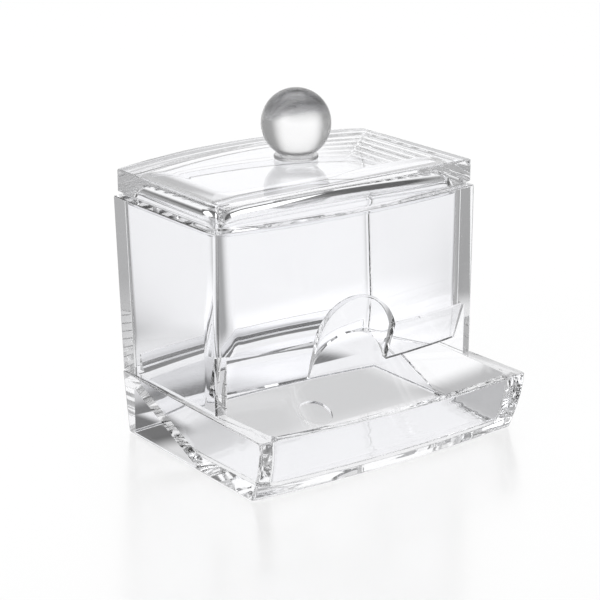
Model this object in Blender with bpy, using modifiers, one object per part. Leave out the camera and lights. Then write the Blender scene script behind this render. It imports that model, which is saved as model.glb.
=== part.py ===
"""Clear moulded cotton swab holder.

A tray base with a sloping ramp carries a box sleeve whose front wall ends in an
inward slanting lip with an arched finger notch. A domed lift-off lid with a ball
knob closes the top. Sizes are in millimetres, the front faces -Y and +Z is up.
"""
import math

import bpy
import bmesh
from mathutils import Vector

MM = 0.001
SEAT_GAP = 0.3            # between two pieces that rest on or are bonded to each other

# Tray base, outer form
RIM_HEIGHT = 17.4
BASE_HALF_WIDTH = 44.2    # at the foot's front
RIM_HALF_WIDTH = 45.0     # at the rim's front
BACK_HALF_WIDTH = 43.9    # the sides draw in towards the back
BASE_DEPTH = 60.0         # along the side, at the foot
FRONT_FLARE = 4.6         # how far the front leans out over its height
BACK_FLARE = 2.7
BASE_BOW_FRONT = 2.2      # how far the long edges bulge in plan
RIM_BOW_FRONT = 3.0
BASE_BOW_BACK = 3.5
BASE_CORNER_RADIUS = 1.0
EDGE_BREAK = 0.4

# Tray base, basin
FLOOR_THICKNESS = 2.9
FLOOR_FILLET = 2.2
FRONT_WALL = 2.3
TRAY_HALF_WIDTH = 39.6    # inside, at the front of the rim
BASIN_HALF_WIDTH = 41.0   # inside, from the crease back
CREASE_DEPTH = 23.5       # where the side walls change direction
BASIN_DRAFT = 1.0         # narrower at the floor, on each side
BASIN_CORNER_RADIUS = 2.0

# Ramp, the cove at its head and the hollow under it
RAMP_FOOT = 25.8
RAMP_HEAD_DROP = 0.1      # the ramp's head below the rim, at its corners
RAMP_THICKNESS = 3.3
COVE_RISE = 4.6           # the cove's level top above the rim
COVE_LIP = 0.5            # thickness of the cove's upright tip
COVE_HALF_WIDTH = 38.0
HOLLOW_WALL = 3.0         # beside the hollow
HOLLOW_BACK_WALL = 2.2
GATE_MARK_RADIUS = 5.0    # round recess in the ramp's underside
GATE_MARK_DEPTH = 0.9
GATE_MARK_PLACE = 32.8

# Box sleeve
SLEEVE_HALF_WIDTH = 43.6
SLEEVE_FRONT = 17.0       # of the front corners, behind the foot's front edge
SLEEVE_BACK_DRAFT = 3.0   # the back wall leans out by this much at the top
SLEEVE_TOP = 66.6
SLEEVE_WALL = 3.0
SLEEVE_BOW = 4.0
SLEEVE_CORNER_RADIUS = 0.9
SLEEVE_FRONT_FILLET = 5.0  # inside the upright corners
SLEEVE_BACK_FILLET = 3.0
POST_WIDTH = 3.4          # each side of the front opening

# Lip under the front wall and its finger notch
LIP_BEND = 32.6
LIP_DROP = 11.0
LIP_INSET = 3.9
LIP_TIP = 1.6             # thickness at the free edge; the lip is a wedge
LIP_STEP = 0.15           # the lip starts this far behind the wall's face
LIP_ROOT = 0.9            # how far it reaches up inside the wall
NOTCH_HALF_WIDTH = 13.2
NOTCH_RISE = 10.4

# Lid
LID_SIDE_INSET = 1.1
LID_FRONT_INSET = 0.4
LID_SHADOW_GAP = 1.2      # between the sleeve's top and the skirt's foot
LID_CORNER_RISE = 7.4     # of the lid's corners above the sleeve's top
LID_DOME = 1.4
LID_PLATE = 2.7
LID_SEAT_INSET = 1.0
LID_CORNER_RADIUS = 0.9
PLUG_DEPTH = 1.8          # how far the locating rim reaches into the sleeve
PLUG_CLEARANCE = 0.35
PLUG_WALL = 1.6
LID_CAVITY_FILLET = 2.5

# Knob
COLLAR_RADIUS = 6.1
COLLAR_HEIGHT = 1.0
COLLAR_BREAK = 0.25
BALL_RADIUS = 9.6
BALL_FLAT_RADIUS = 4.7    # of the foot that rests on the collar

# Fineness of the curves
EDGE_STEPS = 16
CORNER_STEPS = 4
CORNER_SHARE = 1.5        # the bowed edges' points end this many radii from a corner
FILLET_STEPS = 5
FLARE_STEPS = 5
LIP_STEPS = 5
NOTCH_STEPS = 18
TURN_STEPS = 56
BALL_STEPS = 22
OVERSHOOT = 1.5           # how far a cutter passes the face that it opens

# Sizes that follow from the ones above
SLEEVE_BACK = BASE_DEPTH + BACK_FLARE
SLEEVE_FOOT = RIM_HEIGHT + SEAT_GAP
COVE_TOP = RIM_HEIGHT + COVE_RISE
PLUG_FRONT_FILLET = SLEEVE_FRONT_FILLET - SEAT_GAP
PLUG_BACK_FILLET = SLEEVE_BACK_FILLET - SEAT_GAP
LID_SEAT = SLEEVE_TOP + SEAT_GAP
LID_SKIRT_FOOT = SLEEVE_TOP + LID_SHADOW_GAP
LID_CORNER_HEIGHT = SLEEVE_TOP + LID_CORNER_RISE
LID_HALF_WIDTH = SLEEVE_HALF_WIDTH - LID_SIDE_INSET
RAMP_SLOPE = ((RIM_HEIGHT - RAMP_HEAD_DROP - FLOOR_THICKNESS)
              / (SLEEVE_BACK - SLEEVE_WALL - RAMP_FOOT))
PLAN_FRONT = -FRONT_FLARE - RIM_BOW_FRONT
PLAN_BACK = SLEEVE_BACK + SLEEVE_BACK_DRAFT + SLEEVE_BOW
PLAN_MIDDLE = (PLAN_FRONT + PLAN_BACK) / 2
LID_MIDDLE = (SLEEVE_FRONT + SLEEVE_BACK + SLEEVE_BACK_DRAFT) / 2


def point(x, y, z):
    """A place in metres, measured from under the middle of the whole object."""
    return Vector((x, y - PLAN_MIDDLE, z)) * MM


def mix(a, b, share):
    return a + (b - a) * share


def bow_at(x, half_width, bow):
    """Bulge of a bowed long edge at x."""
    return bow * max(0.0, 1 - (x / half_width) ** 2)


def steps(start, end, count):
    return [mix(start, end, i / count) for i in range(count + 1)]


def clear_scene():
    for obj in list(bpy.data.objects):
        bpy.data.objects.remove(obj, do_unlink=True)


def new_collection(name):
    collection = bpy.data.collections.new(name)
    bpy.context.scene.collection.children.link(collection)
    return collection


def clear_plastic(name, tint):
    """Transparent glossy plastic."""
    material = bpy.data.materials.new(name)
    material.use_nodes = True
    shader = material.node_tree.nodes["Principled BSDF"]
    shader.inputs["Base Color"].default_value = (*tint, 1)
    shader.inputs["Roughness"].default_value = 0.04
    shader.inputs["Metallic"].default_value = 0.0
    shader.inputs["IOR"].default_value = 1.49
    shader.inputs["Transmission Weight"].default_value = 0.9
    return material


def add_object(name, mesh, collection, material=None):
    obj = bpy.data.objects.new(name, mesh)
    collection.objects.link(obj)
    if material:
        mesh.materials.append(material)
    else:
        obj.hide_render = True
        obj.display_type = "WIRE"
    return obj


def finish_mesh(name, bm):
    bmesh.ops.recalc_face_normals(bm, faces=bm.faces)
    mesh = bpy.data.meshes.new(name)
    bm.to_mesh(mesh)
    bm.free()
    return mesh


def rounded(corners):
    """Plan points of a polygon given as (x, y, radius), with arcs where the radius isn't 0."""
    points = []
    for i, (x, y, radius) in enumerate(corners):
        here = Vector((x, y))
        if radius == 0:
            points.append(here)
            continue
        before = (Vector(corners[i - 1][:2]) - here).normalized()
        after = (Vector(corners[(i + 1) % len(corners)][:2]) - here).normalized()
        half_angle = before.angle(after) / 2
        centre = here + (before + after).normalized() * radius / math.sin(half_angle)
        start = here + before * radius / math.tan(half_angle) - centre
        end = here + after * radius / math.tan(half_angle) - centre
        turn = start.angle_signed(end)
        for step in range(CORNER_STEPS + 1):
            angle = -turn * step / CORNER_STEPS
            points.append(centre + Vector((start.x * math.cos(angle) - start.y * math.sin(angle),
                                           start.x * math.sin(angle) + start.y * math.cos(angle))))
    return points


def plan_outline(front_half, back_half, front, back, bow_front, bow_back, radii, crease):
    """Outline with bowed long edges, rounded corners and a crease in each side.

    radii are those of the front and the back corners; crease is (half width, place).
    """
    front_radius, back_radius = radii
    front_reach = 1 - (CORNER_SHARE * front_radius + EDGE_BREAK) / front_half
    back_reach = 1 - (CORNER_SHARE * back_radius + EDGE_BREAK) / back_half
    crease_half, crease_place = crease
    corners = [(-front_half, front, front_radius)]
    corners += [(s * front_half, front - bow_at(s, 1, bow_front), 0)
                for s in steps(-front_reach, front_reach, EDGE_STEPS)]
    corners += [(front_half, front, front_radius), (crease_half, crease_place, 0),
                (back_half, back, back_radius)]
    corners += [(-s * back_half, back + bow_at(s, 1, bow_back), 0)
                for s in steps(-back_reach, back_reach, EDGE_STEPS)]
    corners += [(-back_half, back, back_radius), (-crease_half, crease_place, 0)]
    return rounded(corners)


def box_outline(half_width, front, back, bow, radii, inset=0.0):
    """Outline with parallel sides, drawn in by inset."""
    half = half_width - inset
    return plan_outline(half, half, front + inset, back - inset, bow, bow, radii,
                        (half, (front + back) / 2))


def ring(outline, height, dome=0.0):
    """An outline lifted to a height, and to a dome over it."""
    half_width = max(p.x for p in outline)
    return [point(p.x, p.y, height + bow_at(p.x, half_width, dome)) for p in outline]


def loft(name, rings):
    """Closed solid through rings from below upwards; the caps are ruled from front to back."""
    bm = bmesh.new()
    loops = [[bm.verts.new(p) for p in points] for points in rings]
    count = len(loops[0])
    for low, high in zip(loops, loops[1:]):
        for i in range(count):
            j = (i + 1) % count
            bm.faces.new((low[i], low[j], high[j], high[i]))
    arc = CORNER_STEPS + 1
    front = range(arc, arc + EDGE_STEPS + 1)
    back_first = 3 * arc + EDGE_STEPS + 2
    for loop in (loops[0], loops[-1]):
        facing = [loop[back_first + EDGE_STEPS - i] for i in range(EDGE_STEPS + 1)]
        near = [loop[i] for i in front]
        for i in range(EDGE_STEPS):
            bm.faces.new((near[i], near[i + 1], facing[i + 1], facing[i]))
        bm.faces.new(loop[arc + EDGE_STEPS:back_first + 1])
        bm.faces.new(loop[back_first + EDGE_STEPS:] + loop[:arc + 1])
    return finish_mesh(name, bm)


def sweep_across(name, stations, section):
    """Closed solid through the (y, z) sections at each x station."""
    bm = bmesh.new()
    loops = [[bm.verts.new(point(x, y, z)) for y, z in section(x)] for x in stations]
    for left, right in zip(loops, loops[1:]):
        for i in range(len(left)):
            j = (i + 1) % len(left)
            bm.faces.new((left[i], left[j], right[j], right[i]))
    bm.faces.new(loops[0])
    bm.faces.new(loops[-1])
    return finish_mesh(name, bm)


def extrude_back(name, outline, front, back):
    """Closed solid from an (x, z) outline pushed from front to back."""
    bm = bmesh.new()
    face = bm.faces.new([bm.verts.new(point(x, front, z)) for x, z in outline])
    pushed = bmesh.ops.extrude_face_region(bm, geom=[face])
    moved = [item for item in pushed["geom"] if isinstance(item, bmesh.types.BMVert)]
    bmesh.ops.translate(bm, verts=moved, vec=Vector((0, (back - front) * MM, 0)))
    return finish_mesh(name, bm)


def turned(name, profile, collection, material):
    """Turned solid from (radius, height) points that run down its outer side."""
    bm = bmesh.new()
    verts = [bm.verts.new(Vector((r, 0, z)) * MM) for r, z in profile]
    for upper, lower in zip(verts, verts[1:]):
        bm.edges.new((upper, lower))
    mesh = bpy.data.meshes.new(name)
    bm.to_mesh(mesh)
    bm.free()
    obj = add_object(name, mesh, collection, material)
    screw = obj.modifiers.new("turn", "SCREW")
    screw.steps = screw.render_steps = TURN_STEPS
    screw.use_merge_vertices = True
    screw.merge_threshold = 0.00001
    screw.use_smooth_shade = True
    return obj


def add_boolean(obj, other, operation):
    modifier = obj.modifiers.new(f"{operation.lower()} {other.name}", "BOOLEAN")
    modifier.operation = operation
    modifier.object = other


def base_outline(height, inset):
    """Outer plan of the tray base at a height; the front curves out as it rises."""
    share = height / RIM_HEIGHT
    front_half = mix(BASE_HALF_WIDTH, RIM_HALF_WIDTH, share) - inset
    back_half = BACK_HALF_WIDTH - inset
    front = -FRONT_FLARE * math.sin(share * math.pi / 2) + inset
    back = BASE_DEPTH + BACK_FLARE * share - inset
    middle = ((front_half + back_half) / 2, (front + back) / 2)
    return plan_outline(front_half, back_half, front, back,
                        mix(BASE_BOW_FRONT, RIM_BOW_FRONT, share),
                        mix(BASE_BOW_BACK, SLEEVE_BOW, share),
                        (BASE_CORNER_RADIUS, BASE_CORNER_RADIUS), middle)


def basin_outline(height, inset):
    """Inner plan of the tray base at a height."""
    share = (height - FLOOR_THICKNESS) / (RIM_HEIGHT - FLOOR_THICKNESS)
    draft = mix(BASIN_DRAFT, 0, share) + inset
    lean = min(height / RIM_HEIGHT, 1)
    front = -FRONT_FLARE * math.sin(lean * math.pi / 2) + FRONT_WALL + inset
    back_half = BASIN_HALF_WIDTH - draft
    return plan_outline(TRAY_HALF_WIDTH - draft, back_half, front,
                        SLEEVE_BACK - SLEEVE_WALL - inset,
                        mix(BASE_BOW_FRONT, RIM_BOW_FRONT, lean), SLEEVE_BOW,
                        (BASIN_CORNER_RADIUS, BASIN_CORNER_RADIUS), (back_half, CREASE_DEPTH))


def inner_back(x):
    """Inner face of the back wall at x, where the ramp's head is."""
    return SLEEVE_BACK - SLEEVE_WALL + bow_at(x, SLEEVE_HALF_WIDTH - SLEEVE_WALL, SLEEVE_BOW)


def ramp_top(y):
    return FLOOR_THICKNESS + (y - RAMP_FOOT) * RAMP_SLOPE


def ramp_underside(y):
    return ramp_top(y) - RAMP_THICKNESS * math.hypot(1, RAMP_SLOPE)


def cove_radius(face, sweep):
    """Radius that runs from the ramp up to the cove's level top."""
    return (COVE_TOP - ramp_top(face)) / (math.sin(sweep) - (1 - math.cos(sweep)) * RAMP_SLOPE)


def ramp_section(x):
    """Everything under the ramp and behind its cove, which the basin leaves standing."""
    face = inner_back(x) - SEAT_GAP - COVE_LIP
    sweep = math.pi / 2 - math.atan(RAMP_SLOPE)
    radius = cove_radius(face, sweep)
    arc = [(face - radius * (1 - math.cos(a)), COVE_TOP - radius * math.sin(a))
           for a in steps(sweep, 0, FILLET_STEPS)]
    low = FLOOR_THICKNESS - OVERSHOOT
    near = RAMP_FOOT - OVERSHOOT / RAMP_SLOPE
    far = inner_back(x) + OVERSHOOT
    high = COVE_TOP + 2 * OVERSHOOT
    return [(near, low)] + arc + [(face, high), (far, high), (far, low)]


def riser_section(x):
    """Block behind the cove that stands up inside the sleeve."""
    back = inner_back(x) - SEAT_GAP
    front = back - COVE_LIP - COVE_TOP + RIM_HEIGHT
    root = ramp_top(front) - RAMP_THICKNESS
    return [(front, root), (front, COVE_TOP), (back - EDGE_BREAK, COVE_TOP),
            (back, COVE_TOP - EDGE_BREAK), (back, root)]


def hollow_section(x):
    """Wedge under the ramp, open below."""
    far = BASE_DEPTH - HOLLOW_BACK_WALL + bow_at(x, BASE_HALF_WIDTH, BASE_BOW_BACK)
    tip = RAMP_FOOT - (OVERSHOOT + ramp_underside(RAMP_FOOT)) / RAMP_SLOPE
    return [(tip, -OVERSHOOT), (far, -OVERSHOOT), (far, ramp_underside(far))]


def make_tray_base(parts, cutters, material):
    """Tray with a flared front, a ramp, a cove at its head and a hollow under it."""
    levels = [(0, EDGE_BREAK), (EDGE_BREAK, 0)]
    levels += [(z, 0) for z in steps(0, RIM_HEIGHT, FLARE_STEPS)[1:-1]]
    levels += [(RIM_HEIGHT - EDGE_BREAK, 0), (RIM_HEIGHT, EDGE_BREAK)]
    outer = loft("tray_base", [ring(base_outline(z, inset), z) for z, inset in levels])
    base = add_object("tray_base", outer, parts, material)

    levels = [(FLOOR_THICKNESS + FLOOR_FILLET * (1 - math.cos(a)), FLOOR_FILLET * (1 - math.sin(a)))
              for a in steps(0, math.pi / 2, FILLET_STEPS)]
    levels += [(z, 0) for z in steps(FLOOR_THICKNESS + FLOOR_FILLET, RIM_HEIGHT, FLARE_STEPS)[1:]]
    levels += [(COVE_TOP + OVERSHOOT, 0)]
    basin = loft("basin", [ring(basin_outline(z, inset), z) for z, inset in levels])
    basin = add_object("basin", basin, cutters)
    wide = steps(-RIM_HALF_WIDTH, RIM_HALF_WIDTH, EDGE_STEPS)
    ramp = add_object("ramp_block", sweep_across("ramp_block", wide, ramp_section), cutters)
    add_boolean(basin, ramp, "DIFFERENCE")

    hollow_half = BASE_HALF_WIDTH - HOLLOW_WALL
    inner = steps(-hollow_half, hollow_half, EDGE_STEPS)
    hollow = add_object("ramp_hollow", sweep_across("ramp_hollow", inner, hollow_section), cutters)
    cove = steps(-COVE_HALF_WIDTH, COVE_HALF_WIDTH, EDGE_STEPS)
    riser = add_object("riser", sweep_across("riser", cove, riser_section), cutters)

    bpy.ops.mesh.primitive_cylinder_add(
        vertices=TURN_STEPS, radius=GATE_MARK_RADIUS * MM, depth=2 * GATE_MARK_DEPTH * MM,
        location=point(0, GATE_MARK_PLACE, ramp_underside(GATE_MARK_PLACE)),
        rotation=(math.atan(RAMP_SLOPE), 0, 0))
    mark = bpy.context.object
    mark.name = "gate_mark"
    for collection in mark.users_collection:
        collection.objects.unlink(mark)
    cutters.objects.link(mark)
    mark.hide_render = True
    mark.display_type = "WIRE"

    add_boolean(base, riser, "UNION")
    add_boolean(base, basin, "DIFFERENCE")
    add_boolean(base, hollow, "DIFFERENCE")
    add_boolean(base, mark, "DIFFERENCE")
    return base


def sleeve_rings(wall, radii, levels):
    """Rings of the sleeve's outside, or of its inside when wall isn't 0."""
    rings = []
    for height, inset in levels:
        lean = SLEEVE_BACK_DRAFT * (height - SLEEVE_FOOT) / (SLEEVE_TOP - SLEEVE_FOOT)
        outline = box_outline(SLEEVE_HALF_WIDTH, SLEEVE_FRONT, SLEEVE_BACK + lean, SLEEVE_BOW,
                              radii, wall + inset)
        rings.append(ring(outline, height))
    return rings


def notch_height(x):
    """Rise of the lip's bend line over the finger notch, a circular arch."""
    radius = (NOTCH_HALF_WIDTH ** 2 + NOTCH_RISE ** 2) / (2 * NOTCH_RISE)
    return max(0.0, math.sqrt(max(0.0, radius ** 2 - x ** 2)) - radius + NOTCH_RISE)


def notch_stations():
    """Places across the notch at even angles round its arch."""
    radius = (NOTCH_HALF_WIDTH ** 2 + NOTCH_RISE ** 2) / (2 * NOTCH_RISE)
    reach = math.asin(NOTCH_HALF_WIDTH / radius)
    return [radius * math.sin(a) for a in steps(-reach, reach, NOTCH_STEPS)]


def lip_section(x):
    """Slanting lip in the plane of its thickness, rooted inside the front wall."""
    face = SLEEVE_FRONT - bow_at(x, SLEEVE_HALF_WIDTH, SLEEVE_BOW) + LIP_STEP
    bend = LIP_BEND + notch_height(x)
    root = bend + LIP_ROOT
    return [(face, root), (face, bend), (face + LIP_INSET, bend - LIP_DROP),
            (face + LIP_INSET + LIP_TIP, bend - LIP_DROP + LIP_TIP * LIP_INSET / LIP_DROP),
            (face + SLEEVE_WALL, bend), (face + SLEEVE_WALL - LIP_ROOT / 2, root)]


def make_box_sleeve(parts, cutters, material):
    """Four walls open above and below, with the front opening, its lip and notch."""
    levels = [(SLEEVE_FOOT, EDGE_BREAK / 2), (SLEEVE_FOOT + EDGE_BREAK / 2, 0),
              (SLEEVE_TOP - EDGE_BREAK, 0), (SLEEVE_TOP, EDGE_BREAK)]
    outer = loft("box_sleeve", sleeve_rings(0, (SLEEVE_CORNER_RADIUS,) * 2, levels))
    sleeve = add_object("box_sleeve", outer, parts, material)
    levels = [(SLEEVE_FOOT - OVERSHOOT, 0), (SLEEVE_TOP + OVERSHOOT, 0)]
    fillets = (SLEEVE_FRONT_FILLET, SLEEVE_BACK_FILLET)
    inner = loft("sleeve_bore", sleeve_rings(SLEEVE_WALL, fillets, levels))
    bore = add_object("sleeve_bore", inner, cutters)

    half_width = SLEEVE_HALF_WIDTH - POST_WIDTH
    low = RIM_HEIGHT - OVERSHOOT
    arch = [(x, LIP_BEND + notch_height(x)) for x in reversed(notch_stations())]
    outline = [(-half_width, low), (half_width, low), (half_width, LIP_BEND)]
    outline += arch + [(-half_width, LIP_BEND)]
    front = SLEEVE_FRONT - SLEEVE_BOW - OVERSHOOT
    back = SLEEVE_FRONT + SLEEVE_WALL + SLEEVE_FRONT_FILLET + OVERSHOOT
    opening = add_object("front_opening", extrude_back("front_opening", outline, front, back),
                         cutters)

    notch = notch_stations()
    end = SLEEVE_HALF_WIDTH - SLEEVE_WALL / 2
    stations = steps(-end, notch[0], LIP_STEPS)[:-1] + notch
    stations += steps(notch[-1], end, LIP_STEPS)[1:]
    lip = add_object("lip", sweep_across("lip", stations, lip_section), cutters)

    add_boolean(sleeve, bore, "DIFFERENCE")
    add_boolean(sleeve, opening, "DIFFERENCE")
    add_boolean(sleeve, lip, "UNION")
    return sleeve


def lid_outline(inset):
    """Outer plan of the lid, drawn in by inset."""
    back = SLEEVE_BACK + SLEEVE_BACK_DRAFT
    return box_outline(LID_HALF_WIDTH, SLEEVE_FRONT + LID_FRONT_INSET, back - LID_FRONT_INSET,
                       SLEEVE_BOW, (LID_CORNER_RADIUS,) * 2, inset)


def plug_outline(inset):
    """Locating rim, clear of the sleeve's inner faces at the plug's lower edge."""
    reach = SLEEVE_WALL + PLUG_CLEARANCE + inset
    lean = SLEEVE_BACK_DRAFT * (1 - PLUG_DEPTH / (SLEEVE_TOP - SLEEVE_FOOT))
    return box_outline(SLEEVE_HALF_WIDTH, SLEEVE_FRONT, SLEEVE_BACK + lean, SLEEVE_BOW,
                       (PLUG_FRONT_FILLET, PLUG_BACK_FILLET), reach)


def make_lid(parts, cutters, material):
    """Domed cap with a skirt, a shadow step, a seat and a locating rim."""
    plug_foot = SLEEVE_TOP - PLUG_DEPTH
    rings = [ring(plug_outline(EDGE_BREAK / 2), plug_foot),
             ring(plug_outline(0), plug_foot + EDGE_BREAK),
             ring(plug_outline(0), LID_SEAT),
             ring(lid_outline(LID_SEAT_INSET), LID_SEAT),
             ring(lid_outline(LID_SEAT_INSET), LID_SKIRT_FOOT),
             ring(lid_outline(0), LID_SKIRT_FOOT),
             ring(lid_outline(0), LID_CORNER_HEIGHT - EDGE_BREAK, LID_DOME),
             ring(lid_outline(EDGE_BREAK), LID_CORNER_HEIGHT, LID_DOME)]
    lid = add_object("lid", loft("lid", rings), parts, material)

    ceiling = LID_CORNER_HEIGHT - LID_PLATE
    rings = [ring(plug_outline(PLUG_WALL), plug_foot - OVERSHOOT)]
    for angle in steps(math.pi / 2, 0, FILLET_STEPS):
        drop = LID_CAVITY_FILLET * (1 - math.cos(angle))
        inset = LID_CAVITY_FILLET * (1 - math.sin(angle))
        rings.append(ring(plug_outline(PLUG_WALL + inset), ceiling - drop, LID_DOME))
    cavity = add_object("lid_cavity", loft("lid_cavity", rings), cutters)
    add_boolean(lid, cavity, "DIFFERENCE")
    return lid


def make_knob(parts, material_collar, material_ball):
    """Collar on the lid's crown and the ball, whose foot is flat."""
    foot = LID_CORNER_HEIGHT + LID_DOME + SEAT_GAP
    top = foot + COLLAR_HEIGHT
    collar = turned("knob_collar", [(0, top), (COLLAR_RADIUS - COLLAR_BREAK, top),
                                    (COLLAR_RADIUS, top - COLLAR_BREAK), (COLLAR_RADIUS, foot),
                                    (0, foot)], parts, material_collar)
    flat = top + SEAT_GAP
    end = math.pi - math.asin(BALL_FLAT_RADIUS / BALL_RADIUS)
    centre = flat - BALL_RADIUS * math.cos(end)
    profile = [(BALL_RADIUS * math.sin(a), centre + BALL_RADIUS * math.cos(a))
               for a in steps(0, end, BALL_STEPS)]
    ball = turned("ball_knob", profile + [(0, flat)], parts, material_ball)
    return collar, ball


def build():
    clear_scene()
    parts = new_collection("cotton swab holder")
    cutters = new_collection("cutters")
    clear = (0.97, 0.98, 0.98)
    make_tray_base(parts, cutters, clear_plastic("tray clear", clear))
    make_box_sleeve(parts, cutters, clear_plastic("sleeve clear", clear))
    lid = make_lid(parts, cutters, clear_plastic("lid clear", clear))
    knob = make_knob(parts, clear_plastic("collar clear", clear),
                     clear_plastic("ball clear", (0.95, 0.95, 0.95)))

    # The lid and its knob lift together along an upright axis through the knob.
    axis = bpy.data.objects.new("lid_lift_axis", None)
    axis.location = point(0, LID_MIDDLE, 0)
    parts.objects.link(axis)
    bpy.context.view_layer.update()
    lid.parent = axis
    lid.matrix_parent_inverse = axis.matrix_world.inverted()
    for piece in knob:
        piece.parent = axis


build()
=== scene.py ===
"""Clear moulded cotton swab holder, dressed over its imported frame.

A tray with a ramp carries a box with a slanting lip and a finger notch, and a
domed lid with a ball knob lifts off. Plan sizes are in millimetres, measured
from the foot's front corners, and `spot` turns them into the frame's metres.
"""
from __future__ import annotations

import logging
import math
from contextlib import contextmanager
from dataclasses import dataclass
from enum import Enum
from typing import Callable, Iterable, Iterator, Mapping, Sequence

import bpy
from mathutils import Matrix, Vector


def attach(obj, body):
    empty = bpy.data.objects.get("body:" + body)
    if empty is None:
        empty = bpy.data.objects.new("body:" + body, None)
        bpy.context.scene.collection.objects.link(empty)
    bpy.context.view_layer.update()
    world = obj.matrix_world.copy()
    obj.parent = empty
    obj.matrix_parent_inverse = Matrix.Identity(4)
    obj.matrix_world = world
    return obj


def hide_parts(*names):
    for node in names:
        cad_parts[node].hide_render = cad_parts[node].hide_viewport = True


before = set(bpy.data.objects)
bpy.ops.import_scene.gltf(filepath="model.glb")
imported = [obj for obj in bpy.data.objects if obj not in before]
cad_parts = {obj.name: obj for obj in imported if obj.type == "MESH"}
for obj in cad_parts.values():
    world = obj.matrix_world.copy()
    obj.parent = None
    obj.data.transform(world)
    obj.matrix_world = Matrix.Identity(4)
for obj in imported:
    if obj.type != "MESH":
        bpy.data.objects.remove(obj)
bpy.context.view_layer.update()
LOG = logging.getLogger("swab_holder")

MM = 0.001
PLAN_MIDDLE = 31.05  # plan's y at the frame's origin
OVERSHOOT = 1.5  # how far a tool reaches past what it cuts
HAIR = 0.001  # thickness of a tool's sharp end
CORNER_STEPS = 5
ROUND_STEPS = 8
COVE_STEPS = 10
VAULT_STEPS = 20
COLUMNS = 70
LIGHT_STEPS = 24  # bends and bounces of one ray
WHITE = (1.0, 1.0, 1.0, 1.0)

Solid = bpy.types.Object
Rule = Callable[[int, int, int], Vector]
Span = tuple[float, float]
Triple = tuple[float, float, float]


class Join(Enum):
    """How one solid acts on another."""

    CUT = "DIFFERENCE"
    FUSE = "UNION"


class Corner(Enum):
    """Radius of a block's upright corners, in millimetres."""

    CRISP = 0.9
    BASIN = 2.0
    BORE_BACK = 3.0
    PLUG_BACK = 2.7
    BORE_FRONT = 5.0
    PLUG_FRONT = 4.7


def spot(x: float, y: float, z: float) -> Vector:
    """Place of a plan point in the frame.

    Args:
        x: Millimetres to the right of the middle.
        y: Millimetres behind the foot's front corners.
        z: Millimetres above the ground.

    Returns:
        The point in metres.
    """
    return Vector((x, y - PLAN_MIDDLE, z)) * MM


def mix(a: float, b: float, share: float) -> float:
    """Value at a share of the way between two others.

    Args:
        a: Value at 0.
        b: Value at 1.
        share: Share of the way.

    Returns:
        The value.
    """
    return a + (b - a) * share


def steps(start: float, end: float, count: int) -> list[float]:
    """Evenly spaced values from start to end.

    Args:
        start: First value.
        end: Last value.
        count: Number of intervals.

    Returns:
        count + 1 values.
    """
    return [mix(start, end, i / count) for i in range(count + 1)]


def quarter(radius: float, count: int = ROUND_STEPS) -> list[Span]:
    """Quarter round that turns from a flat face into an upright one.

    Args:
        radius: Radius of the round.
        count: Number of facets.

    Returns:
        (rise, inset) pairs, from the flat face to the upright one.
    """
    angles = steps(0, math.pi / 2, count)
    return [(radius * (1 - math.cos(a)), radius * (1 - math.sin(a))) for a in angles]


def swell(x: float, half: float) -> float:
    """Share of a bow's or dome's height at a place across.

    Args:
        x: Place across.
        half: Half width at which it ends.

    Returns:
        1 in the middle, 0 from the half width on.
    """
    return max(0.0, 1 - (x / half) ** 2)


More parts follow.
